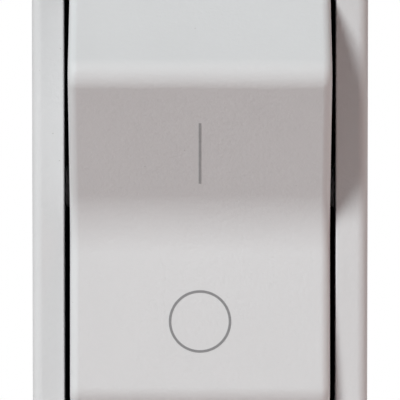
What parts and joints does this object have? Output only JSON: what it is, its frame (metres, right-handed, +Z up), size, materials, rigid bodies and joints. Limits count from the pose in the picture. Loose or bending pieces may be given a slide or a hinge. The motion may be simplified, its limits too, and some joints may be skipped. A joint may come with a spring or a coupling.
{
  "type": "wall switch",
  "caption": "White rocker wall switch with a V-shaped rocker in a narrow bezel, a double-pole seesaw mechanism, wire terminals and lugs for a wall box.",
  "frame": {"origin": "midway between the two fixing holes, in the plane where the lugs meet the wall box", "axes": "+Z up along the rocker's length, +X to the right of someone facing the switch, +Y into the wall; the front faces -Y"},
  "size_m": [0.025, 0.0368, 0.072],
  "materials": {
    "white_moulding": "satin white moulding",
    "dark_phenolic": "dark brown moulding",
    "zinc_steel": "zinc plated",
    "rivet_steel": "bright",
    "spring_steel": "drawn wire",
    "strip_brass": "rolled",
    "block_brass": "machined",
    "screw_brass": "turned",
    "contact_silver": "satin silver",
    "plunger_nylon": "natural"
  },
  "bodies": {
    "frame": {"bezel": "white_moulding", "housing": "dark_phenolic", "fixing_lug_top": "zinc_steel", "fixing_lug_bottom": "zinc_steel", "lug_rivets": "rivet_steel", "terminal_screws": "screw_brass", "fixed_contact_left": "contact_silver", "line_strip_left": "strip_brass", "load_strip_left": "strip_brass", "line_block_left": "block_brass", "load_block_left": "block_brass", "fixed_contact_right": "contact_silver", "line_strip_right": "strip_brass", "load_strip_right": "strip_brass", "line_block_right": "block_brass", "load_block_right": "block_brass"},
    "rocker": {"rocker": "white_moulding", "plunger_spring_left": "spring_steel", "plunger_spring_right": "spring_steel"},
    "plunger_left": {"plunger_left": "plunger_nylon"},
    "plunger_right": {"plunger_right": "plunger_nylon"},
    "arm_left": {"contact_arm_left": "strip_brass", "moving_contact_left": "contact_silver"},
    "arm_right": {"contact_arm_right": "strip_brass", "moving_contact_right": "contact_silver"}
  },
  "joints": [
    {"name": "rocker_tilt", "type": "hinge", "parent": "frame", "child": "rocker", "pos_m": [0, 0.00206, 0], "axis": [-1, 0, 0], "range_deg": [0, 28]},
    {"name": "plunger_left_slide", "type": "slide", "parent": "rocker", "child": "plunger_left", "axis": [0, -0.9703, -0.2419], "range_m": [0, 0.001], "stiffness_N_per_m": 1500, "deforming": ["plunger_spring_left"]},
    {"name": "plunger_right_slide", "type": "slide", "parent": "rocker", "child": "plunger_right", "axis": [0, -0.9703, -0.2419], "range_m": [0, 0.001], "stiffness_N_per_m": 1500, "deforming": ["plunger_spring_right"]},
    {"name": "arm_left_tilt", "type": "hinge", "parent": "frame", "child": "arm_left", "pos_m": [-0.0052, 0.01107, 0], "axis": [1, 0, 0], "range_deg": [0, 20]},
    {"name": "arm_right_tilt", "type": "hinge", "parent": "frame", "child": "arm_right", "pos_m": [0.0052, 0.01107, 0], "axis": [1, 0, 0], "range_deg": [0, 20]}
  ],
  "couplings": [
    {"joint": "arm_left_tilt", "follows": "rocker_tilt", "ratio": 0.71428},
    {"joint": "arm_right_tilt", "follows": "rocker_tilt", "ratio": 0.71428}
  ]
}
